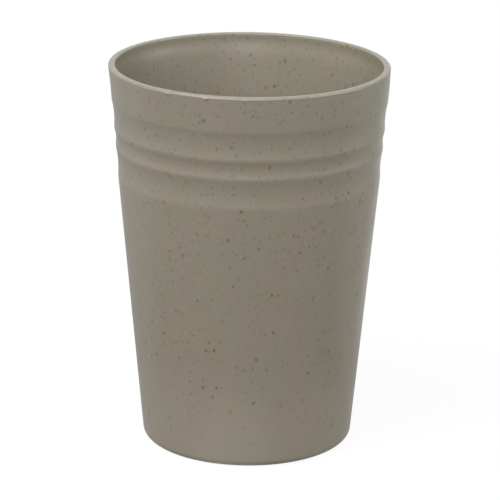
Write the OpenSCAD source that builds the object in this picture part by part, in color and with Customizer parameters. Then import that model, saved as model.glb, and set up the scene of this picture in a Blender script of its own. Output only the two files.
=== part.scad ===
/* [Overall] */
// Height from the table to the top of the lip
tumbler_h = 110; // [90:1:130]
// Outer diameter at the lip, before its edge is rounded
lip_d = 79.5; // [72:0.1:88]
// Diameter that the plain wall would reach at the table
base_d = 60; // [50:0.2:68]

/* [Wall] */
// Wall thickness at the foot and at the lip, measured level across
wall_t = 2; // [1.2:0.1:2.4]
// Thickness of the floor
floor_t = 2.2; // [1.4:0.1:3.5]
// Radius between the inner wall and the floor
inner_corner_r = 7; // [3:0.5:12]
// Radius of the outer corner at the table
base_corner_r = 2.4; // [1:0.1:5]

/* [Lip] */
// Width of the lip, seen from above
lip_w = 2; // [1.6:0.05:3]
// Rounding of the lip's outer edge
lip_outer_r = 0.55; // [0.2:0.05:0.8]
// Rounding of the lip's inner edge
lip_inner_r = 0.4; // [0.2:0.05:0.7]
// Height of the upright edge inside the lip, rounding included
lip_edge_h = 0.8; // [0.8:0.1:2]
// Height of the lip's slanted underside, between that edge and the wall
lip_under_h = 0.9; // [0.3:0.1:1.5]
// Height of the shallow hollow inside, just under the lip
hollow_h = 3.4; // [2.4:0.1:6]
// How far the top of the hollow stands outside the line of the plain inner wall
hollow_out = 0.19; // [0.1:0.01:0.4]
// Depth of the hollow's own curve
hollow_depth = 0.09; // [0.05:0.01:0.2]
// Rounding where the hollow runs out into the inner wall
hollow_blend_r = 55; // [5:1:80]

/* [Rings] */
// How far the lowest crest stands outside a straight line from foot to lip
ring_proud = 0.3; // [0.1:0.01:1]
// Height of the plain band between the rings and the top of the lip
band_h = 10; // [6:0.1:14]
// Height of the upper groove
upper_groove_h = 8.1; // [6:0.1:12]
// Height of the middle groove
middle_groove_h = 5.3; // [4.5:0.1:10]
// Height of the lower groove
lower_groove_h = 8.4; // [6:0.1:12]
// Depth of the upper groove below its crests
upper_groove_depth = 0.33; // [0.15:0.01:0.6]
// Depth of the middle groove below its crests
middle_groove_depth = 0.34; // [0.15:0.01:0.6]
// Depth of the lower groove below its crests
lower_groove_depth = 0.32; // [0.15:0.01:0.6]
// Rounding of the two crests between the grooves
crest_r = 4.6; // [0.3:0.1:6]
// Rounding of the lowest crest, between the lower groove and the plain wall
wall_blend_r = 10; // [0.5:0.5:12]
// Rounding between the upper groove and the plain band
band_blend_r = 7.6; // [2:0.2:10]

/* [Underside] */
// Width of the flat ring that the tumbler stands on
foot_w = 2.6; // [1.5:0.1:5]
// Depth of the recess inside the foot ring
recess_depth = 1.2; // [0.7:0.1:2]
// How far the side of the recess leans in
recess_lean = 0.8; // [0.3:0.1:1.5]
// Diameter of the dimple round the moulding gate
dimple_d = 9; // [6:0.5:14]
// How far the side of the dimple leans in
dimple_lean = 1; // [0.3:0.1:1.5]
// Depth of the dimple
dimple_depth = 0.5; // [0.2:0.1:0.9]
// Diameter of the gate's stub
gate_d = 2.2; // [1.2:0.1:3]
// Height of the gate's stub, from the roof of the dimple
gate_h = 0.6; // [0.3:0.1:1.2]

/* [Hidden] */
$fn = 120;
wheat_grey = [0.49, 0.465, 0.41];
groove_steps = 10;
crest_steps = 4;
corner_steps = 7;
edge_steps = 4;

// Where the wall runs: the foot, the lip and the slopes of the straight stretches
lip_r = lip_d / 2;
base_r = base_d / 2;
draft = (lip_r - base_r) / tumbler_h;
band_z = tumbler_h - band_h;
upper_z = band_z - upper_groove_h;
middle_z = upper_z - middle_groove_h;
ring_z = middle_z - lower_groove_h;
ring_r = base_r + draft * ring_z + ring_proud;
rake = (lip_r - ring_r) / (tumbler_h - ring_z);
floor_z = recess_depth + floor_t;
inner_foot_r = base_r - wall_t;
mouth_r = lip_r - lip_w;

// The unit vector along v
function unit(v) = v / norm(v);

// The vector v turned a quarter to the left. Going up the outside, the wall lies that way.
function left_of(v) = [-v.y, v.x];

// An outline seen from the other side of the axis
function mirrored(points) = [for (p = points) [-p.x, p.y]];

// The same points, last one first
function backwards(points) = [for (i = [len(points) - 1:-1:0]) points[i]];

// Points on the arc about a centre from start to stop, the short way round
function arc(centre, start, stop, steps) =
    let (radius = norm(start - centre),
         begins = atan2(start.y - centre.y, start.x - centre.x),
         ends = atan2(stop.y - centre.y, stop.x - centre.x),
         turn = (ends - begins + 540) % 360 - 180)
    [for (i = [0:steps])
        let (angle = begins + turn * i / steps)
        centre + radius * [cos(angle), sin(angle)]];

// Points that round the corner at a point, between the straight stretches before and after it
function rounded(before, corner, after, r, steps) =
    let (u = unit(before - corner),
         v = unit(after - corner),
         half = acos(u * v) / 2,
         reach = r / tan(half))
    arc(corner + unit(u + v) * r / sin(half), corner + u * reach, corner + v * reach, steps);

// Circle of a groove that dips by depth between two crests, as its centre and its radius
function groove(low, high, depth) =
    let (span = norm(high - low),
         radius = (span * span / 4 + depth * depth) / (2 * depth))
    [(low + high) / 2 - left_of(unit(high - low)) * (radius - depth), radius];

// Centre of a rounding of radius r that touches two grooves, on the wall's side of them
function between_grooves(one, other, r) =
    let (gap = norm(other[0] - one[0]),
         from_one = one[1] + r,
         from_other = other[1] + r,
         along = (gap * gap + from_one * from_one - from_other * from_other) / (2 * gap),
         way = unit(other[0] - one[0]))
    one[0] + way * along + left_of(way) * sqrt(from_one * from_one - along * along);

// Centre of a rounding of radius r that touches a groove and the straight stretch below it, or above it
function beside_groove(point, way, g, r, below) =
    let (start = point + left_of(way) * r,
         near = start + way * ((g[0] - start) * way),
         reach = g[1] + r,
         off = norm(g[0] - near),
         along = sqrt(reach * reach - off * off))
    near + way * (below ? -along : along);

// Where a rounding touches a groove, and where it touches a straight stretch
function on_groove(g, centre) = g[0] + unit(centre - g[0]) * g[1];
function on_line(way, centre, r) = centre - left_of(way) * r;

// The underside, from the axis out to the foot ring: gate stub, dimple and recess
function underside(foot_r) =
    let (dimple_z = recess_depth + dimple_depth)
    [[0, dimple_z - gate_h],
     [gate_d / 2, dimple_z - gate_h],
     [gate_d / 2, dimple_z],
     [dimple_d / 2 - dimple_lean, dimple_z],
     [dimple_d / 2, recess_depth],
     [foot_r - foot_w - recess_lean, recess_depth],
     [foot_r - foot_w, 0]];

// The outside from the table up to the lip. Its rings are three hollow arcs, rounded into one another.
function outside(foot) =
    let (crests = [for (z = [ring_z, middle_z, upper_z, band_z]) [ring_r + rake * (z - ring_z), z]],
         depths = [lower_groove_depth, middle_groove_depth, upper_groove_depth],
         g = [for (i = [0:2]) groove(crests[i], crests[i + 1], depths[i])],
         wall_way = unit(crests[0] - [base_r, 0]),
         band_way = unit([lip_r, tumbler_h] - crests[3]),
         rounds = [beside_groove(crests[0], wall_way, g[0], wall_blend_r, true),
                   between_grooves(g[0], g[1], crest_r),
                   between_grooves(g[1], g[2], crest_r),
                   beside_groove(crests[3], band_way, g[2], band_blend_r, false)])
    concat(
        foot,
        arc(rounds[0], on_line(wall_way, rounds[0], wall_blend_r), on_groove(g[0], rounds[0]), crest_steps),
        arc(g[0][0], on_groove(g[0], rounds[0]), on_groove(g[0], rounds[1]), groove_steps),
        arc(rounds[1], on_groove(g[0], rounds[1]), on_groove(g[1], rounds[1]), crest_steps),
        arc(g[1][0], on_groove(g[1], rounds[1]), on_groove(g[1], rounds[2]), groove_steps),
        arc(rounds[2], on_groove(g[1], rounds[2]), on_groove(g[2], rounds[2]), crest_steps),
        arc(g[2][0], on_groove(g[2], rounds[2]), on_groove(g[2], rounds[3]), groove_steps),
        arc(rounds[3], on_groove(g[2], rounds[3]), on_line(band_way, rounds[3], band_blend_r), crest_steps));

// The lip, from its outer edge across the top to its inner edge
function lip() =
    concat(
        rounded([lip_r - rake * band_h, band_z], [lip_r, tumbler_h], [mouth_r, tumbler_h],
                lip_outer_r, edge_steps),
        rounded([lip_r, tumbler_h], [mouth_r, tumbler_h], [mouth_r, band_z], lip_inner_r, edge_steps));

// The inside from the lip down to the floor: the lip's underside, the hollow, the plain wall and its corner.
// The hollow is worked out on the mirrored outline, where the wall is again on the left going up.
function inside() =
    let (edge_foot = [mouth_r, tumbler_h - lip_edge_h],
         under_z = edge_foot.y - lip_under_h,
         hollow_z = under_z - hollow_h,
         hollow_top = [-(inner_foot_r + draft * under_z + hollow_out), under_z],
         hollow_foot = [-(inner_foot_r + draft * hollow_z), hollow_z],
         wall_way = unit([-draft, 1]),
         g = groove(hollow_foot, hollow_top, hollow_depth),
         blend = beside_groove(hollow_foot, wall_way, g, hollow_blend_r, true),
         hollow = concat(
             arc(blend, on_line(wall_way, blend, hollow_blend_r), on_groove(g, blend), crest_steps),
             arc(g[0], on_groove(g, blend), hollow_top, groove_steps)),
         corner = [inner_foot_r + draft * floor_z, floor_z])
    concat(
        [edge_foot],
        backwards(mirrored(hollow)),
        rounded([inner_foot_r + draft * hollow_z, hollow_z], corner, [0, floor_z], inner_corner_r, corner_steps),
        [[0, floor_z]]);

// A single moulded shell, turned about the axis
module tumbler() {
    foot = rounded([0, 0], [base_r, 0], [ring_r, ring_z], base_corner_r, corner_steps);
    color(wheat_grey)
        rotate_extrude()
            polygon(concat(underside(foot[0].x), outside(foot), lip(), inside()));
}

tumbler();
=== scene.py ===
# %% [markdown]
# # A speckled bathroom tumbler
#
# The object is one plastic moulding: a tapered wall, a flat pale lip, three hollow rings with
# rounded crests, and a foot ring underneath. Its charm is in small things: how softly the rings
# run into one another, how the lip catches the light, and the plant-fibre flecks in the plastic.
# So this lesson spends its effort on the outline curve and on the speckled material.
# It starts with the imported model, which says how large the tumbler is and where it stands.

# %% Load the frame
import math

import bpy
import numpy as np
from mathutils import Matrix, Vector


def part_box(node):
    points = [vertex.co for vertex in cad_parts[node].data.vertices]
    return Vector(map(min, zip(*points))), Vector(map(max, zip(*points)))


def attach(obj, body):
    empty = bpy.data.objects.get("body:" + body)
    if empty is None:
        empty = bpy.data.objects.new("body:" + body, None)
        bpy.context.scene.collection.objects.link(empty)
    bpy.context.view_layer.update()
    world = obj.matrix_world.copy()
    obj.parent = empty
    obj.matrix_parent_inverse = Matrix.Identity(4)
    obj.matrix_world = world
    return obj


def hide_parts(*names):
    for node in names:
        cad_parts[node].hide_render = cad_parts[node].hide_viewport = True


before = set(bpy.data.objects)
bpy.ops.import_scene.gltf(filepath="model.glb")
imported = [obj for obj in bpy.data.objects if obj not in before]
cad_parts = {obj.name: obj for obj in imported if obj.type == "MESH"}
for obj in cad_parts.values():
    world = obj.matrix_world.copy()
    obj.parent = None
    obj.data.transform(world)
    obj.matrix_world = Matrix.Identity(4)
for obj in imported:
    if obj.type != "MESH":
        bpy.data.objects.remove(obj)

mm, cm3 = 0.001, 0.000001
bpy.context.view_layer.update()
node_low, node_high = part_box("tumbler")
tumbler_h = node_high.z - node_low.z
widest_r = (node_high.x - node_low.x) / 2
print("frame: %.2f mm high, %.2f mm across" % (tumbler_h / mm, 2 * widest_r / mm))

# %% [markdown]
# ## The outline curve
#
# A turned form is easiest to get right as one outline, swept once round the axis. The outline
# could be drawn as a smooth spline, but the real one was cut in steel as straight slopes and
# circular hollows, and a spline would soften them all alike. So it is built as the toolmaker
# did: straight stretches, arcs, and small roundings that touch both neighbours.
# Going up the outside, the plastic is always on the left of the curve.

# %% Small steps in the plane
def unit(v):
    """The vector v shortened or stretched to length one."""
    return v / np.hypot(*v)


def left_of(v):
    """The vector v turned a quarter to the left: (-y, x)."""
    return np.array([-v[1], v[0]])


def arc(centre, start, stop, steps):
    """Points on the circle about centre, from start to stop the short way round: the angle
    grows evenly from the one to the other."""
    radius = np.hypot(*(start - centre))
    begins = math.atan2(start[1] - centre[1], start[0] - centre[0])
    ends = math.atan2(stop[1] - centre[1], stop[0] - centre[0])
    turn = (ends - begins + math.pi) % (2 * math.pi) - math.pi
    angle = begins + turn * np.linspace(0, 1, steps + 1)
    return centre + radius * np.stack([np.cos(angle), np.sin(angle)], axis=1)


def rounded(before, corner, after, r, steps):
    """An arc of radius r that touches both straight stretches beside a corner. Its centre lies on
    the line that halves the corner, r over the sine of the half angle away."""
    u, v = unit(before - corner), unit(after - corner)
    half = math.acos(u @ v) / 2
    reach = r / math.tan(half)
    return arc(corner + unit(u + v) * r / math.sin(half), corner + u * reach, corner + v * reach, steps)


def softened(points, r, steps):
    """A run of straight stretches with each inner corner rounded by the same radius."""
    inner = [rounded(points[i - 1], points[i], points[i + 1], r, steps) for i in range(1, len(points) - 1)]
    return np.concatenate([points[:1], *inner, points[-1:]])


corner_try = rounded(np.array([0.0, 1.0]), np.array([0.0, 0.0]), np.array([1.0, 0.0]), 0.5, 8)
print("a rounded corner has %d points, from %s to %s" % (len(corner_try), corner_try[0], corner_try[-1]))

# %% [markdown]
# ## The three rings
#
# Each ring is a shallow hollow between two crests. A crest is where two hollows meet, and it is
# rounded: the rounding's circle touches both hollows from the plastic's side, so its centre is
# as far from each hollow's centre as the two radii together. The crests themselves lie on one
# straight slope, from the lowest crest up to the lip, and that slope is what the plain band shows.
# Beside the band and beside the plain wall the rounding touches one hollow and one straight
# stretch, and it is softer there than between two hollows.

# %% Circles that touch
def groove(low, high, depth):
    """The circle through two crests that dips by depth between them, as centre and radius.
    With the chord c the radius is (c^2 / 4 + depth^2) / (2 depth)."""
    span = np.hypot(*(high - low))
    radius = (span ** 2 / 4 + depth ** 2) / (2 * depth)
    return (low + high) / 2 - left_of(unit(high - low)) * (radius - depth), radius


def between_grooves(one, other, r):
    """Centre of a rounding that touches two grooves: the triangle of the three centres has the
    sides gap, R1 + r and R2 + r."""
    gap = np.hypot(*(other[0] - one[0]))
    way = unit(other[0] - one[0])
    along = (gap ** 2 + (one[1] + r) ** 2 - (other[1] + r) ** 2) / (2 * gap)
    return one[0] + way * along + left_of(way) * math.sqrt((one[1] + r) ** 2 - along ** 2)


def beside_groove(point, way, g, r, below):
    """Centre of a rounding that touches a groove and a straight stretch through point: it runs
    along the stretch moved r into the plastic, until it is R + r from the groove's centre."""
    start = point + left_of(way) * r
    near = start + way * ((g[0] - start) @ way)
    along = math.sqrt((g[1] + r) ** 2 - np.sum((g[0] - near) ** 2))
    return near - way * along if below else near + way * along


def on_groove(g, centre):
    """Where a rounding touches a groove."""
    return g[0] + unit(centre - g[0]) * g[1]


def on_line(way, centre, r):
    """Where a rounding touches a straight stretch."""
    return centre - left_of(way) * r


# %% Sizes of the wall and the rings
base_r = 30 * mm
base_corner_r = 2.4 * mm
wall_t = 2 * mm
ring_proud = 0.3 * mm
band_h = 10 * mm
groove_heights = np.array([8.4, 5.3, 8.1]) * mm
groove_depths = np.array([0.32, 0.34, 0.33]) * mm
crest_r = 4.6 * mm
wall_blend_r = 10 * mm
band_blend_r = 7.6 * mm
lip_w = 2 * mm
lip_outer_r = 0.55 * mm
lip_inner_r = 0.4 * mm
corner_steps, crest_steps, groove_steps, edge_steps, lip_inner_steps = 12, 8, 22, 8, 7
below_edge = np.linspace(1.3, 0.1, 13) * mm
crest_z = tumbler_h - band_h - np.append(np.cumsum(groove_heights[::-1])[::-1], 0)
print("crests at", np.round(crest_z / mm, 1), "mm")


# %% The outside, from the table to the lip
def outside(lip_r):
    """Foot corner, plain wall, three rounded hollows, plain band and the lip's two edges. The band
    has closer points just below the lip's edge, where the nubs are pushed out of it later."""
    ring_r = base_r + (lip_r - base_r) * crest_z[0] / tumbler_h + ring_proud
    foot_corner, top = np.array([base_r, 0]), np.array([lip_r, tumbler_h])
    rake = (lip_r - ring_r) / (tumbler_h - crest_z[0])
    crests = np.stack([ring_r + rake * (crest_z - crest_z[0]), crest_z], axis=1)
    wall_way, band_way = unit(crests[0] - foot_corner), unit(top - crests[3])
    g = [groove(crests[i], crests[i + 1], groove_depths[i]) for i in range(3)]
    rounds = [beside_groove(crests[0], wall_way, g[0], wall_blend_r, True),
              between_grooves(g[0], g[1], crest_r),
              between_grooves(g[1], g[2], crest_r),
              beside_groove(crests[3], band_way, g[2], band_blend_r, False)]
    mouth = top - [lip_w, 0]
    starts = on_line(wall_way, rounds[0], wall_blend_r)
    parts = [rounded(np.zeros(2), foot_corner, crests[0], base_corner_r, corner_steps),
             arc(rounds[0], starts, on_groove(g[0], rounds[0]), crest_steps)]
    for i in range(3):
        parts.append(arc(g[i][0], on_groove(g[i], rounds[i]), on_groove(g[i], rounds[i + 1]), groove_steps))
        leaves = on_groove(g[i + 1], rounds[i + 1]) if i < 2 else on_line(band_way, rounds[3], band_blend_r)
        parts.append(arc(rounds[i + 1], on_groove(g[i], rounds[i + 1]), leaves, crest_steps))
    edge = rounded(crests[3], top, mouth, lip_outer_r, edge_steps)
    parts.append(edge[0] - band_way * below_edge[:, None])
    parts.append(edge)
    parts.append(rounded(top, mouth, mouth - [0, lip_w], lip_inner_r, lip_inner_steps))
    return np.concatenate(parts)


lip_r = 2 * widest_r - outside(widest_r)[:, 0].max()
outer = outside(lip_r)
print("widest at the lip: %.3f mm, frame %.3f mm" % (outer[:, 0].max() / mm, widest_r / mm))

# %% [markdown]
# ## Inside and underneath
#
# The inside is smooth. Just under the lip the photo shows a thin dark line and then a lighter
# zone that fades out slowly. The dark line is the lip's slanted underside, and the lighter zone a
# very shallow hollow, which runs out into the straight wall over several millimetres. The hollow
# is worked out on the outline as seen from the other side of the axis, where the plastic is on
# the left again. The underside can't be seen in the photo. Such mouldings stand on a ring, with
# a shallow recess and the stub of the gate in a small dimple, so those are made.

# %% The inside, from the lip down to the floor
lip_edge_h = 0.8 * mm
lip_under_h = 0.9 * mm
hollow_h = 3.4 * mm
hollow_out = 0.19 * mm
hollow_depth = 0.09 * mm
hollow_blend_r = 55 * mm
lip_under_r = 0.15 * mm
inner_corner_r = 7 * mm
recess_depth = 1.2 * mm
floor_t = 2.2 * mm
floor_z = recess_depth + floor_t
blend_steps, hollow_steps, under_lip_steps, inner_corner_steps = 6, 16, 5, 14
draft = (lip_r - base_r) / tumbler_h
inner_foot_r = base_r - wall_t


def plain_r(z):
    """Radius of the plain inner wall at a height: inner_foot_r + draft z."""
    return inner_foot_r + draft * z


def inside():
    """The lip's underside, the hollow, the plain wall, its corner and the floor."""
    edge_foot = np.array([lip_r - lip_w, tumbler_h - lip_edge_h])
    top_z = edge_foot[1] - lip_under_h
    foot_z = top_z - hollow_h
    top = np.array([-(plain_r(top_z) + hollow_out), top_z])
    foot = np.array([-plain_r(foot_z), foot_z])
    way = unit(np.array([-draft, 1]))
    g = groove(foot, top, hollow_depth)
    blend = beside_groove(foot, way, g, hollow_blend_r, True)
    starts = on_line(way, blend, hollow_blend_r)
    hollow = np.concatenate([arc(blend, starts, on_groove(g, blend), blend_steps),
                             arc(g[0], on_groove(g, blend), top, hollow_steps)])
    hollow = hollow[::-1] * [-1, 1]
    under_lip = rounded(edge_foot, hollow[0], hollow[1], lip_under_r, under_lip_steps)
    corner = np.array([plain_r(floor_z), floor_z])
    middle = np.array([0, floor_z])
    wall_foot = rounded(foot * [-1, 1], corner, middle, inner_corner_r, inner_corner_steps)
    return np.concatenate([under_lip, hollow[1:], wall_foot, [middle]])


inner = inside()
print("the mouth is %.1f mm wide inside its edge" % (2 * (lip_r - lip_w) / mm))

# %% The underside, from the axis out to the foot ring
foot_w = 2.6 * mm
recess_lean = 0.8 * mm
dimple_r, dimple_lean, dimple_depth = 4.5 * mm, 1 * mm, 0.5 * mm
gate_r, gate_h = 1.1 * mm, 0.6 * mm
under_edge_r = 0.18 * mm
under_edge_steps = 4
foot_r = outer[0, 0]
dimple_z = recess_depth + dimple_depth
under = softened(np.array([[0, dimple_z - gate_h], [gate_r, dimple_z - gate_h], [gate_r, dimple_z],
                           [dimple_r - dimple_lean, dimple_z], [dimple_r, recess_depth],
                           [foot_r - foot_w - recess_lean, recess_depth], [foot_r - foot_w, 0],
                           [foot_r, 0]]), under_edge_r, under_edge_steps)
print("the foot ring is %.1f mm wide and reaches %.1f mm from the axis" % (foot_w / mm, foot_r / mm))


# %% One outline, with no long gaps between its points
def no_gap_over(points, longest):
    """Splits each stretch into as many equal parts as bring it under the longest gap."""
    steps = np.hypot(*np.diff(points, axis=0).T)
    points = points[np.append(True, steps > 1e-9)]
    steps = np.hypot(*np.diff(points, axis=0).T)
    parts = np.ceil(steps / longest).astype(int)
    first = np.repeat(np.arange(len(parts)), parts)
    share = (np.arange(len(first)) - np.repeat(np.cumsum(parts) - parts, parts)) / parts[first]
    inner_points = points[first] + (points[first + 1] - points[first]) * share[:, None]
    return np.vstack([inner_points, points[-1:]])


longest_gap = 4 * mm
outline = no_gap_over(np.concatenate([under, outer, inner]), longest_gap)
print("the outline has %d points" % len(outline))

# %% [markdown]
# ## Turning the outline
#
# A Screw modifier or a spin would sweep the outline, but then nothing could vary round the rim.
# As a grid of two parameters, the place along the outline and the angle, every point can still
# be moved by a formula. The angles are even, except near three places on the lip where small
# nubs will stand: there they lie closer together. The two ends lie on the axis, so each becomes
# one point with a fan of triangles, and the shell is closed without a doubled seam.

# %% Outline and angle to a grid of points
turns = 288
nub_angles = np.radians([-34.0, -17.4, -2.3])
nub_zone = 1.7 * mm / lip_r
nub_turns = 23
spare = 0.1 * mm / lip_r
even = 2 * np.pi * np.arange(turns) / turns - np.pi
close = (nub_angles[:, None] + np.linspace(-nub_zone, nub_zone, nub_turns)).ravel()
free = np.abs(even[:, None] - nub_angles).min(axis=1) > nub_zone + spare
angle = np.sort(np.append(even[free], close))


def turned(points, angle):
    """Each outline point (r, z) at each angle a from the front goes to (r sin a, -r cos a, z)."""
    r, z = points[:, 0][:, None], points[:, 1][:, None]
    return np.stack([r * np.sin(angle), -r * np.cos(angle), z + 0 * angle], axis=-1)


grid = turned(outline[1:-1], angle)
print("the grid has %d rings of %d points" % grid.shape[:2])

# %% [markdown]
# ## The nubs on the lip
#
# Where the two halves of the mould met, along the lip's outer edge, three small nubs of flash
# stand out at the front left. They are no pieces of their own, since they grew with the lip: each
# point of the grid near the edge is pushed out by a bell curve of its distance to the nub.

# %% Flash nubs
nub_widths = np.array([0.8, 0.55, 0.6]) * mm
nub_reach = np.array([0.22, 0.24, 0.14]) * mm
nub_rise = 0.32 * mm
nub_z = tumbler_h - 0.78 * mm
edge_zone = lip_outer_r + 0.2 * mm


def with_nubs(grid):
    """A point at angle a and height z moves out by the sum over the nubs of
    reach exp(-(arc distance / width)^2) exp(-((z - nub z) / rise)^2)."""
    r = np.hypot(grid[..., 0], grid[..., 1])
    a = np.arctan2(grid[..., 0], -grid[..., 1])
    on_outside = r > lip_r - edge_zone
    push = np.zeros(r.shape)
    for at, width, reach in zip(nub_angles, nub_widths, nub_reach):
        across = (a - at) * lip_r / width
        push += reach * np.exp(-across ** 2 - ((grid[..., 2] - nub_z) / nub_rise) ** 2)
    push *= on_outside
    moved = grid.copy()
    moved[..., 0] += push * np.sin(a)
    moved[..., 1] -= push * np.cos(a)
    return moved


grid = with_nubs(grid)
reaches = np.hypot(grid[..., 0], grid[..., 1]).max()
print("the nubs reach %.2f mm past the lip" % ((reaches - widest_r) / mm))

# %% [markdown]
# ## A mouth a little out of true
#
# A thin moulding comes off its core warm, and is never quite round and level. The photo shows
# it: seen against the straight body, the lip's left side stands a hair higher than its right
# side, and the lip as a whole sits a hair to the left. Both are a fifth of a millimetre, yet the
# two long ellipses of the lip show them. A turned and moved copy of the rim would break the wall,
# so all points are moved once more, by two smooth formulas of place, which leave the foot and
# most of the plain wall as they are.

# %% Tilt and shift of the mouth
mouth_tilt = 0.18 * mm
mouth_aside = 0.19 * mm
tilt_from = 0.6 * tumbler_h
aside_from = tumbler_h - 5 * mm


def out_of_true(grid):
    """A point (x, y, z) is lifted by -tilt x / lip_r times a share that grows evenly from 0 at
    tilt_from to 1 at the lip, and moved left by aside t^2 (3 - 2 t), where t grows evenly from
    0 at aside_from to 1 at the lip."""
    x, z = grid[..., 0], grid[..., 2]
    raised = np.clip((z - tilt_from) / (tumbler_h - tilt_from), 0, 1)
    t = np.clip((z - aside_from) / (tumbler_h - aside_from), 0, 1)
    moved = grid.copy()
    moved[..., 2] -= mouth_tilt * x / lip_r * raised
    moved[..., 0] -= mouth_aside * t ** 2 * (3 - 2 * t)
    return moved


grid = out_of_true(grid)
print("the lip's highest point is %.2f mm up" % (grid[..., 2].max() / mm))
print("the mouth reaches %.2f mm to the left" % (-grid[..., 0].min() / mm))


# %% The grid as a closed mesh
def closed_shell(name, grid, first, last):
    """Quads between neighbouring rings, and a fan of triangles round the point at each end."""
    rings, around = grid.shape[:2]
    points = np.vstack([grid.reshape(-1, 3), first, last])
    here = np.arange(around)
    after = (here + 1) % around
    row = np.arange(rings - 1)[:, None] * around
    quads = np.stack([row + here, row + after, row + around + after, row + around + here], axis=-1)
    start_fan = np.stack([after, here, np.full(around, rings * around)], axis=-1)
    end_row = (rings - 1) * around
    end_fan = np.stack([end_row + here, end_row + after, np.full(around, rings * around + 1)], axis=-1)
    corners = np.concatenate([quads.ravel(), start_fan.ravel(), end_fan.ravel()])
    sizes = np.concatenate([np.full(quads.size // 4, 4), np.full(2 * around, 3)])
    mesh = bpy.data.meshes.new(name)
    mesh.vertices.add(len(points))
    mesh.vertices.foreach_set("co", points.ravel())
    mesh.loops.add(len(corners))
    mesh.loops.foreach_set("vertex_index", corners)
    mesh.polygons.add(len(sizes))
    mesh.polygons.foreach_set("loop_start", np.cumsum(sizes) - sizes)
    mesh.polygons.foreach_set("use_smooth", np.ones(len(sizes), bool))
    mesh.update(calc_edges=True)
    mesh.validate()
    piece = bpy.data.objects.new(name, mesh)
    bpy.context.scene.collection.objects.link(piece)
    return piece


def ring_volume(points):
    """Volume inside a turned outline: pi times the sum of (r1^2 + r1 r2 + r2^2) dz / 3."""
    r, z = points.T
    return math.pi / 3 * np.sum((r[:-1] ** 2 + r[:-1] * r[1:] + r[1:] ** 2) * np.diff(z))


tumbler = closed_shell("tumbler_shell", grid, [0, 0, outline[0, 1]], [0, 0, outline[-1, 1]])
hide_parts("tumbler")
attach(tumbler, "root")
print("%d faces, %.1f cm3 of plastic" % (len(tumbler.data.polygons), ring_volume(outline) / cm3))
brim = [lip_r - lip_w, tumbler_h]
print("holds %.0f ml to the brim" % (-ring_volume(np.vstack([brim, inner])) / cm3))

# %% [markdown]
# ## The speckled plastic
#
# The plastic is a warm grey, filled with ground straw: fine brown flecks, a few nearly black
# ones, some rust-coloured ones, and many that lie under the surface and only show faintly.
# An image of flecks would need a map, and would smear at the rounded edges. A Voronoi texture
# in three dimensions has a point in every cell of space: a small ball round each point is a
# fleck, and the tumbler's surface cuts through the balls, so they run on over the lip as the
# real ones do. The balls are wobbled by noise so that none is round. Each ball's size, its
# strength and whether it is there at all come from the cell's own random colour.
# All patterns read Object coordinates, which are metres here.

# %% Helpers for node trees
def add(tree, kind, inputs=None, **settings):
    """A new node with its settings, and with each input set to a value or linked to a socket."""
    made = tree.nodes.new(kind)
    for name, value in settings.items():
        setattr(made, name, value)
    for name, value in (inputs or {}).items():
        if isinstance(value, bpy.types.NodeSocket):
            tree.links.new(value, made.inputs[name])
        else:
            made.inputs[name].default_value = value
    return made


def maths(tree, operation, a, b=0.0, clamp=False):
    """One step of arithmetic on two values or sockets."""
    return add(tree, "ShaderNodeMath", {0: a, 1: b}, operation=operation, use_clamp=clamp).outputs[0]


def line(tree, value, factor, plus, clamp=False):
    """A straight line of a value: factor times the value, plus another."""
    return add(tree, "ShaderNodeMath", {0: value, 1: factor, 2: plus}, operation="MULTIPLY_ADD",
               use_clamp=clamp).outputs[0]


def group(name, takes, gives):
    """An empty node group with named sockets, and its two end nodes."""
    tree = bpy.data.node_groups.new(name, "ShaderNodeTree")
    for socket, kind, value in takes:
        made = tree.interface.new_socket(socket, in_out="INPUT", socket_type=kind)
        if value is not None:
            made.default_value = value
    for socket, kind in gives:
        tree.interface.new_socket(socket, in_out="OUTPUT", socket_type=kind)
    return tree, tree.nodes.new("NodeGroupInput"), tree.nodes.new("NodeGroupOutput")


print("node helpers are ready")

# %% Groups: a wavering place, and flecks
FLOAT, VECTOR = "NodeSocketFloat", "NodeSocketVector"
waver, takes, gives = group(
    "waver", [("Vector", VECTOR, None), ("Scale", FLOAT, 0.0004), ("Amount", FLOAT, 0.0003)],
    [("Vector", VECTOR)])
ripple = add(waver, "ShaderNodeTexNoise",
             {"Vector": takes.outputs["Vector"], "Detail": 1.0,
              "Scale": maths(waver, "DIVIDE", 1.0, takes.outputs["Scale"])})
shift = add(waver, "ShaderNodeVectorMath", {0: ripple.outputs["Color"], 1: (0.5, 0.5, 0.5)},
            operation="SUBTRACT")
shift = add(waver, "ShaderNodeVectorMath", {0: shift.outputs[0], "Scale": takes.outputs["Amount"]},
            operation="SCALE")
moved = add(waver, "ShaderNodeVectorMath", {0: takes.outputs["Vector"], 1: shift.outputs[0]},
            operation="ADD")
waver.links.new(moved.outputs[0], gives.inputs["Vector"])

flecks, takes, gives = group(
    "flecks",
    [("Vector", VECTOR, None), ("Spacing", FLOAT, 0.003), ("Radius", FLOAT, 0.0003),
     ("Share", FLOAT, 0.5), ("Fading", FLOAT, 3.0)],
    [("Mask", FLOAT)])
density = maths(flecks, "DIVIDE", 1.0, takes.outputs["Spacing"])
cell = add(flecks, "ShaderNodeTexVoronoi", {"Vector": takes.outputs["Vector"], "Scale": density},
           voronoi_dimensions="3D", feature="F1")
chance = add(flecks, "ShaderNodeSeparateColor", {"Color": cell.outputs["Color"]})
smallest, core = 0.35, 0.25
size = line(flecks, chance.outputs["Green"], 1 - smallest, smallest)
reach = maths(flecks, "MULTIPLY", maths(flecks, "MULTIPLY", size, takes.outputs["Radius"]), density)
body = add(flecks, "ShaderNodeMapRange",
           {"Value": cell.outputs["Distance"], "From Min": maths(flecks, "MULTIPLY", reach, core),
            "From Max": reach, "To Min": 1.0, "To Max": 0.0}, interpolation_type="SMOOTHSTEP")
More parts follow.
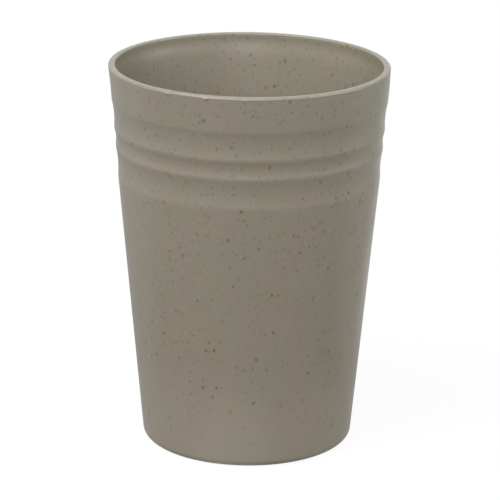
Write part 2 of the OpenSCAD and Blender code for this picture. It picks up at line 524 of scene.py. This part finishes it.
kept = maths(flecks, "LESS_THAN", chance.outputs["Red"], takes.outputs["Share"])
faded = maths(flecks, "POWER", chance.outputs["Blue"], takes.outputs["Fading"])
mask = maths(flecks, "MULTIPLY", body.outputs["Result"], maths(flecks, "MULTIPLY", kept, faded))
flecks.links.new(mask, gives.inputs["Mask"])
print("flecks: %d nodes" % len(flecks.nodes))

# %% [markdown]
# Two more effects are groups: the slow clouds in the colour, where the filler lies thicker or
# thinner, and the fine grain that the steel left on the surface.

# %% Groups: clouds and grain
clouds, takes, gives = group(
    "clouds", [("Vector", VECTOR, None), ("Size", FLOAT, 0.012), ("Contrast", FLOAT, 1.5)],
    [("Value", FLOAT)])
slow = add(clouds, "ShaderNodeTexNoise",
           {"Vector": takes.outputs["Vector"], "Scale": maths(clouds, "DIVIDE", 1.0, takes.outputs["Size"]),
            "Detail": 3.0, "Roughness": 0.55})
centred = maths(clouds, "SUBTRACT", slow.outputs[0], 0.5)
spread = maths(clouds, "MULTIPLY", centred, takes.outputs["Contrast"])
clouds.links.new(maths(clouds, "ADD", spread, 0.5, clamp=True), gives.inputs["Value"])

grain, takes, gives = group(
    "mould_grain", [("Vector", VECTOR, None), ("Fine", FLOAT, 0.00022), ("Broad", FLOAT, 0.0024)],
    [("Height", FLOAT)])
fine = add(grain, "ShaderNodeTexNoise",
           {"Vector": takes.outputs["Vector"], "Scale": maths(grain, "DIVIDE", 1.0, takes.outputs["Fine"]),
            "Detail": 1.0})
broad = add(grain, "ShaderNodeTexNoise",
            {"Vector": takes.outputs["Vector"], "Scale": maths(grain, "DIVIDE", 1.0, takes.outputs["Broad"]),
             "Detail": 0.0})
broad_weight = 2.0
grain.links.new(line(grain, broad.outputs[0], broad_weight, fine.outputs[0]), gives.inputs["Height"])
print("clouds and mould_grain are ready")

# %% [markdown]
# The plain colour itself drifts a little. It runs between a yellower and a greyer tone, and
# between a pinker and a greener one, and the green grows toward the lip. Four tones, one for
# each pair, are mixed by two clouds. They differ by only a few levels in the picture, but
# without them the plastic looks like paint.

# %% The material
plastic = bpy.data.materials.new("speckled_plastic")
plastic.use_nodes = True
tree = plastic.node_tree
shader = tree.nodes["Principled BSDF"]
where = add(tree, "ShaderNodeTexCoord").outputs["Object"]


def place_group(which, **inputs):
    """A group node in the plastic's tree, reading the tumbler's own coordinates."""
    made = add(tree, "ShaderNodeGroup", node_tree=which)
    tree.links.new(where, made.inputs["Vector"])
    for name, value in inputs.items():
        made.inputs[name].default_value = value
    return made


def blend(under, over, amount):
    """The colour under, covered by the colour over as far as amount says."""
    made = add(tree, "ShaderNodeMix", data_type="RGBA")
    for name, kind, value in (("Factor", "VALUE", amount), ("A", "RGBA", under), ("B", "RGBA", over)):
        socket = next(s for s in made.inputs if s.name == name and s.type == kind)
        if isinstance(value, bpy.types.NodeSocket):
            tree.links.new(value, socket)
        else:
            socket.default_value = value
    return next(s for s in made.outputs if s.type == "RGBA")


pink_straw = (0.209, 0.180, 0.132, 1)
pink_grey = (0.208, 0.179, 0.143, 1)
green_straw = (0.197, 0.182, 0.132, 1)
green_grey = (0.194, 0.180, 0.143, 1)
green_by_height, green_held_back = 0.5, 0.32
greyer = place_group(clouds, Size=0.007, Contrast=2.4).outputs["Value"]
height_share = maths(tree, "DIVIDE", add(tree, "ShaderNodeSeparateXYZ", {0: where}).outputs["Z"], tumbler_h)
green_cloud = place_group(clouds, Size=0.010, Contrast=2.4).outputs["Value"]
green_drift = maths(tree, "SUBTRACT", green_cloud, green_held_back)
greener = line(tree, height_share, green_by_height, green_drift, clamp=True)
colour = blend(blend(pink_straw, pink_grey, greyer), blend(green_straw, green_grey, greyer), greener)
print("the plain colour is a mix of four tones")

# %% [markdown]
# The flecks go on in layers, the faint ones first and the nearly black ones last. Each layer has
# its own colour, spacing and strength. Within a layer most flecks are faint, as if they lay
# deeper in the plastic, and only a few show fully: the higher the Fading, the fewer. The filler
# is not stirred in evenly either: a slow cloud and a small one gather the flecks in loose knots.
# There are few near the foot and more further up, and in the upper half their number stays even.

# %% Fleck layers
wavering = place_group(waver, Scale=0.0005, Amount=0.0007).outputs[0]
at_the_foot, per_height, at_most = 0.15, 1.9, 1.2
drift_least, drift_more = 0.35, 1.1
knot_least, knot_more = 0.42, 1.25
layer_step = np.array([0.11, -0.07, 0.05])
drifts = line(tree, place_group(clouds, Size=0.016, Contrast=1.8).outputs["Value"], drift_more, drift_least)
upward = maths(tree, "MINIMUM", line(tree, height_share, per_height, at_the_foot), at_most)
knots = line(tree, place_group(clouds, Size=0.005, Contrast=3.0).outputs["Value"], knot_more, knot_least)
crowding = maths(tree, "MULTIPLY", maths(tree, "MULTIPLY", drifts, upward), knots)


def moved_by(offset, turn, squeeze):
    """The wavering coordinates squeezed along Z, so that cells come out tall, and then turned and
    shifted, so that no two layers share their cells."""
    inputs = {"Vector": wavering, "Location": offset, "Rotation": turn, "Scale": (1.0, 1.0, squeeze)}
    return add(tree, "ShaderNodeMapping", inputs).outputs[0]


layers = [
    # name, tint, spacing, radius, share, fading, strongest, turn, squeeze
    ("pale_chaff", (0.29, 0.262, 0.205, 1), 0.0030, 0.00070, 0.60, 1.5, 0.30, (0.3, 0.1, 0.0), 0.8),
    ("buried", (0.100, 0.085, 0.054, 1), 0.0012, 0.00074, 0.85, 1.3, 0.50, (0.0, 0.2, 0.5), 0.9),
    ("bran", (0.058, 0.041, 0.020, 1), 0.0018, 0.00070, 0.85, 2.1, 0.82, (0.5, 0.0, 0.9), 0.8),
    ("husk", (0.065, 0.050, 0.028, 1), 0.0030, 0.00074, 0.60, 1.4, 0.60, (1.2, 0.4, 0.0), 0.45),
    ("rust", (0.160, 0.074, 0.036, 1), 0.0034, 0.00074, 0.60, 0.9, 0.65, (0.0, 0.9, 0.3), 0.9),
    ("soot", (0.022, 0.018, 0.013, 1), 0.0056, 0.00052, 0.34, 0.8, 0.90, (0.2, 0.0, 1.4), 0.9),
]
shade = 0.0
for number, (name, tint, spacing, radius, share, fading, strongest, turn, squeeze) in enumerate(layers):
    layer = place_group(flecks, Spacing=spacing, Radius=radius, Fading=fading)
    layer.label = name
    tree.links.new(moved_by(layer_step * number, turn, squeeze), layer.inputs["Vector"])
    tree.links.new(maths(tree, "MULTIPLY", crowding, share), layer.inputs["Share"])
    amount = maths(tree, "MULTIPLY", layer.outputs["Mask"], strongest)
    colour = blend(colour, tint, amount)
    if name != "pale_chaff":
        shade = maths(tree, "MAXIMUM", shade, amount)
tree.links.new(colour, shader.inputs["Base Color"])
print("%d fleck layers" % len(layers))

# %% [markdown]
# The surface is satin: it mirrors only softly, a little unevenly, and less sharply where a fleck
# breaks it. The steel's grain is a few thousandths of a millimetre deep, so it goes into the bump
# and not into the mesh, and each fleck sinks in a touch, as chaff does when the plastic shrinks.

# %% Gloss and grain
smoothest, uneven, rough_flecks = 0.30, 0.10, 0.12
fleck_sink, grain_depth = 1.5, 0.004 * mm
rough = line(tree, place_group(clouds, Size=0.004, Contrast=1.2).outputs["Value"], uneven, smoothest)
rough = maths(tree, "ADD", rough, maths(tree, "MULTIPLY", shade, rough_flecks))
tree.links.new(rough, shader.inputs["Roughness"])
sunk = maths(tree, "MULTIPLY", shade, fleck_sink)
height = maths(tree, "SUBTRACT", place_group(grain).outputs["Height"], sunk)
bump = add(tree, "ShaderNodeBump", {"Height": height, "Strength": 1.0, "Distance": grain_depth})
tree.links.new(bump.outputs["Normal"], shader.inputs["Normal"])
shader.inputs["IOR"].default_value = 1.5
tumbler.data.materials.append(plastic)
print("the tumbler wears", tumbler.data.materials[0].name)

# %% [markdown]
# ## Floor and sky
#
# The photo is a cut-out on pure white. The tumbler was standing on something pale, and its wall
# is glossy enough to mirror that faintly: the foot is lighter up to a soft edge, where the
# mirrored view runs off the pale patch toward the dark side of the room, and the two sides of the
# wall mirror what lies behind. One plain floor does all of this. To the camera it is white, apart
# from a little of its own lit colour, which keeps the tumbler's shadow. To the gloss it glows: pale
# round the foot, with a painted pool of light in front, and pale behind the tumbler, growing up to
# white in a slanting lane on the right. In front, beyond the foot's patch, it is dark, and faintly
# grey farther off.

# %% Helpers for floor patterns
def ramp(tree, value, starts, ends):
    """Rises smoothly from 0 to 1 while the value goes from starts to ends."""
    made = add(tree, "ShaderNodeMapRange", {"Value": value, "From Min": starts, "From Max": ends},
               interpolation_type="SMOOTHSTEP")
    return made.outputs["Result"]


def distance_from(tree, place, stretch=(1.0, 1.0, 1.0)):
    """How far a point of the floor is from a place, each axis stretched by its own factor."""
    point = add(tree, "ShaderNodeTexCoord").outputs["Object"]
    apart = add(tree, "ShaderNodeVectorMath", {0: point, 1: place}, operation="SUBTRACT")
    scaled = add(tree, "ShaderNodeVectorMath", {0: apart.outputs[0], 1: stretch}, operation="MULTIPLY")
    return add(tree, "ShaderNodeVectorMath", {0: scaled.outputs[0]}, operation="LENGTH").outputs["Value"]


print("floor helpers are ready")

# %% A white sky
world = bpy.data.worlds.new("studio")
bpy.context.scene.world = world
world.use_nodes = True
world.cycles.sampling_method = "NONE"
sky = world.node_tree
sky.nodes.clear()
path = add(sky, "ShaderNodeLightPath")
seen = maths(sky, "MAXIMUM", path.outputs["Is Camera Ray"], path.outputs["Is Glossy Ray"])
seen = maths(sky, "MAXIMUM", seen, path.outputs["Is Transmission Ray"])
dim = add(sky, "ShaderNodeBackground", {"Color": (1, 1, 1, 1), "Strength": 0.0})
white = add(sky, "ShaderNodeBackground", {"Color": (1, 1, 1, 1), "Strength": 1.0})
sky_mix = add(sky, "ShaderNodeMixShader", {0: seen, 1: dim.outputs[0], 2: white.outputs[0]})
add(sky, "ShaderNodeOutputWorld", {"Surface": sky_mix.outputs[0]})
print("the sky is white to the camera and in reflections")

# %% The floor
floor_half = 3.0
floor_gap = 0.02 * mm
floor_mesh = bpy.data.meshes.new("floor")
floor_mesh.from_pydata([(-floor_half, -floor_half, 0), (floor_half, -floor_half, 0),
                        (floor_half, floor_half, 0), (-floor_half, floor_half, 0)], [], [(0, 1, 2, 3)])
floor = bpy.data.objects.new("floor", floor_mesh)
bpy.context.scene.collection.objects.link(floor)
floor.location.z = -floor_gap
print("the floor is %.0f m wide" % (2 * floor_half))

# %% Its paint: how light each spot is to the gloss
floor_paint = bpy.data.materials.new("floor_paint")
floor_paint.use_nodes = True
floor_paint.cycles.emission_sampling = "NONE"
paint = floor_paint.node_tree
paint.nodes.clear()
near_level, near_ends = 0.57, (71 * mm, 63 * mm)
far_level, far_ends = 0.17, (130 * mm, 190 * mm)
# The pool is painted light: in front of the foot the floor glows brighter to the gloss, as if light pooled
# there.
painted_pool_level, painted_pool_ends = 0.55, (26 * mm, 18 * mm)
painted_pool_place, painted_pool_stretch = (-8 * mm, -50 * mm, 0.0), (1.0, 0.9, 1.0)
back_level, back_ends = 0.515, (-20 * mm, 20 * mm)
back_rise, rise_ends = 0.15, (60 * mm, 350 * mm)
lane_level, lane_slant = 0.48, 0.45
lane_left_ends, lane_right_ends = (10 * mm, 30 * mm), (90 * mm, 30 * mm)
lane_near_ends = (50 * mm, 150 * mm)

apart = distance_from(paint, (0.0, 0.0, 0.0))
place = add(paint, "ShaderNodeSeparateXYZ", {0: add(paint, "ShaderNodeTexCoord").outputs["Object"]})
right, back = place.outputs["X"], place.outputs["Y"]
lane = maths(paint, "MULTIPLY", ramp(paint, right, *lane_left_ends),
             ramp(paint, line(paint, back, -lane_slant, right), *lane_right_ends))
lane = maths(paint, "MULTIPLY", lane, ramp(paint, apart, *lane_near_ends))
backdrop = line(paint, ramp(paint, apart, *rise_ends), back_rise, back_level)
backdrop = maths(paint, "MINIMUM", line(paint, lane, lane_level, backdrop), 1.0)
level = maths(paint, "MAXIMUM", maths(paint, "MULTIPLY", ramp(paint, apart, *near_ends), near_level),
              maths(paint, "MULTIPLY", ramp(paint, back, *back_ends), backdrop))
level = maths(paint, "MAXIMUM", level, maths(paint, "MULTIPLY", ramp(paint, apart, *far_ends), far_level))
# The painted pool of light in front of the foot, added to the glow that the gloss sees.
painted_light_pool = ramp(paint, distance_from(paint, painted_pool_place, painted_pool_stretch), *painted_pool_ends)
mirrored = line(paint, painted_light_pool, painted_pool_level, level)
print("the floor's pattern takes %d nodes" % len(paint.nodes))

# %% What the camera, the gloss and the soft light see of it
matt_to_light, matt_to_camera, white_share = 0.25, 0.90, 0.92
path = add(paint, "ShaderNodeLightPath")
to_camera = path.outputs["Is Camera Ray"]
matt_level = line(paint, to_camera, matt_to_camera - matt_to_light, matt_to_light)
matt_colour = add(paint, "ShaderNodeCombineColor",
                  {"Red": matt_level, "Green": matt_level, "Blue": matt_level})
matt = add(paint, "ShaderNodeBsdfDiffuse", {"Color": matt_colour.outputs[0]})
glow_level = line(paint, mirrored, maths(paint, "SUBTRACT", 1.0, to_camera), to_camera)
glow = add(paint, "ShaderNodeEmission", {"Color": (1, 1, 1, 1), "Strength": glow_level})
glowing = maths(paint, "MAXIMUM", path.outputs["Is Glossy Ray"], path.outputs["Is Transmission Ray"])
glowing = maths(paint, "MAXIMUM", glowing, maths(paint, "MULTIPLY", to_camera, white_share))
floor_mix = add(paint, "ShaderNodeMixShader", {0: glowing, 1: matt.outputs[0], 2: glow.outputs[0]})
add(paint, "ShaderNodeOutputMaterial", {"Surface": floor_mix.outputs[0]})
floor_mesh.materials.append(floor_paint)
print("the floor wears", floor_mesh.materials[0].name)

# %% [markdown]
# ## Lamps
#
# The tones of the photo say where its light came from. Outside, the wall is lightest toward the
# left and grows darker to the right. Inside, the far wall is lightest near its middle. So the
# strongest box stands in front, two more stand high on the left, and one on the right is nearly
# as strong as those. A weak box on the left and two low strips fill the sides. The last box
# stands behind and shows the back when the tumbler is seen from there. The gloss doesn't see
# it, because it would glare on the flat lip. Each is placed by its angle round the tumbler,
# counted from the front, and its angle above the level of lamp_aim.

# %% Soft boxes
lamp_distance = 1.5
lamp_aim = Vector((0, 0, 50 * mm))


def softbox(name, around, up, side, watts):
    """A square area lamp at lamp_distance, at two angles in degrees, turned to face the tumbler."""
    a, e = math.radians(around), math.radians(up)
    way = Vector((math.sin(a) * math.cos(e), -math.cos(a) * math.cos(e), math.sin(e)))
    lamp = bpy.data.lights.new(name, "AREA")
    lamp.shape, lamp.size, lamp.energy = "SQUARE", side, watts
    holder = bpy.data.objects.new(name, lamp)
    bpy.context.scene.collection.objects.link(holder)
    holder.location = lamp_aim + way * lamp_distance
    holder.rotation_euler = way.to_track_quat("Z", "Y").to_euler()
    return holder


boxes = [
    # name, angle round, angle up, side, watts
    ("key_front", 0, 30, 0.9, 14.8),
    ("left", -70, 30, 0.9, 2.6),
    ("right", 70, 30, 0.9, 10.0),
    ("high_left", -45, 45, 0.9, 10.9),
    ("top_left", -60, 60, 0.9, 13.2),
    ("strip_left", -90, 8, 0.5, 3.1),
    ("strip_right", 90, 8, 0.5, 4.4),
]
for name, around, up, side, watts in boxes:
    softbox(name, around, up, side, watts)
back_box = softbox("behind", 180, 20, 0.6, 10.0)
back_box.visible_glossy = False
print("%d soft boxes" % len(bpy.data.lights))

# %% [markdown]
# ## The camera
#
# The camera was worked out from the photo: the lip's two ellipses give how far it looks down,
# the taper of the outline gives how far away it is, and the lean of the axis gives its roll.
# Its lens is long, as for a product photo.

# %% Camera from the photo's geometry
photo_px = 500
focal_px = 2813.65
camera_back_share, camera_up_share = 6.999, 2.6982
camera_place = Vector((0, -camera_back_share * tumbler_h, camera_up_share * tumbler_h))
look_down, look_right, lean = 0.304212, 0.000600, 0.009996
ahead = Vector((math.sin(look_right) * math.cos(look_down),
                math.cos(look_right) * math.cos(look_down), -math.sin(look_down)))
level_right = ahead.cross(Vector((0, 0, 1))).normalized()
level_up = level_right.cross(ahead)
cam_right = math.cos(lean) * level_right + math.sin(lean) * level_up
cam_up = math.cos(lean) * level_up - math.sin(lean) * level_right
camera_data = bpy.data.cameras.new("camera")
camera_data.sensor_width = 36.0
camera_data.lens = focal_px / photo_px * camera_data.sensor_width
camera = bpy.data.objects.new("camera", camera_data)
bpy.context.scene.collection.objects.link(camera)
turn = Matrix((cam_right, cam_up, -ahead)).transposed().to_4x4()
camera.matrix_world = Matrix.Translation(camera_place) @ turn
bpy.context.scene.camera = camera
bpy.context.scene.view_settings.view_transform = "Standard"
print("lens %.1f mm, looking %.2f degrees down" % (camera_data.lens, math.degrees(look_down)))
